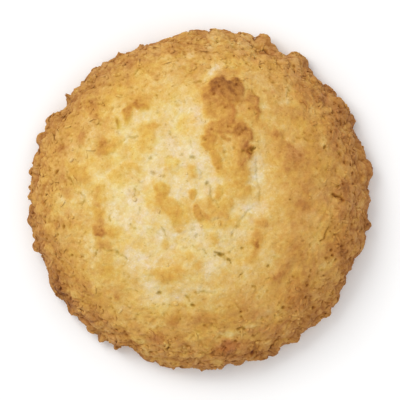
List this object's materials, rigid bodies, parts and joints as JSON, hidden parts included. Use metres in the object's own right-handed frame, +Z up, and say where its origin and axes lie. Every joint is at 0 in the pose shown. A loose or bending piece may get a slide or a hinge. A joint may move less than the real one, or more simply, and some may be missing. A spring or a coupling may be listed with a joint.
{
  "type": "coconut macaroon",
  "caption": "Round baked coconut macaroon: a low knobbly dome with a pale golden top, browned ragged rim and flat browned base.",
  "frame": {"origin": "middle of the flat base, on the surface it rests on", "axes": "+Z up through the middle of the dome; +Y towards the far side as seen from above, +X to the right"},
  "size_m": [0.0704, 0.0691, 0.0191],
  "materials": {
    "baked_coconut": "dry matt baked crust of desiccated coconut, pale cream to golden on top and brown at the rim, finely pitted"
  },
  "bodies": {
    "root": {"macaroon": "baked_coconut"}
  },
  "joints": []
}
